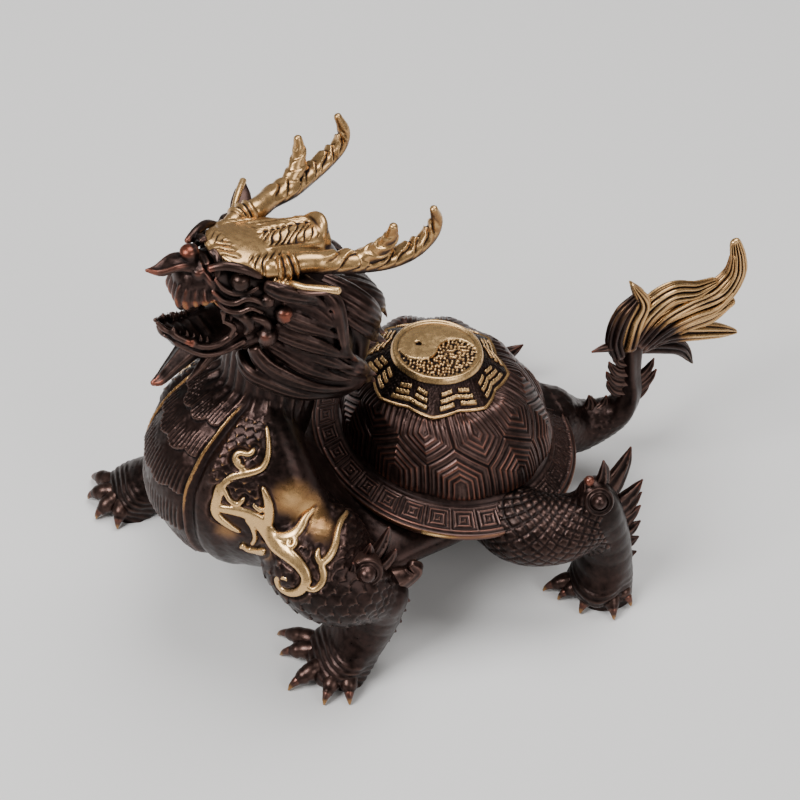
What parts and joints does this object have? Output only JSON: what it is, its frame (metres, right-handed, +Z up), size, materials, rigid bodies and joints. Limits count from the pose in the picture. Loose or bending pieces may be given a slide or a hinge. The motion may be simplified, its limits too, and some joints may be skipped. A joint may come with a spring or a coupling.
{
  "type": "dragon turtle figure",
  "caption": "Cast bronze dragon turtle, horned dragon head raised, striding, with a carved shell, a bagua disc on top and a flame tail.",
  "frame": {"origin": "under the middle of the figure's bounding box, on the plane the soles stand on", "axes": "+Z up; the animal faces -Y; its left side is +X"},
  "size_m": [0.126, 0.2018, 0.1469],
  "materials": {
    "bronze": "dark red-brown patina in the hollows, rubbed to pale polished brass on the crown, horns, disc, scroll, tail tuft and claws"
  },
  "bodies": {
    "root": {"dragon_turtle": "bronze"}
  },
  "joints": []
}
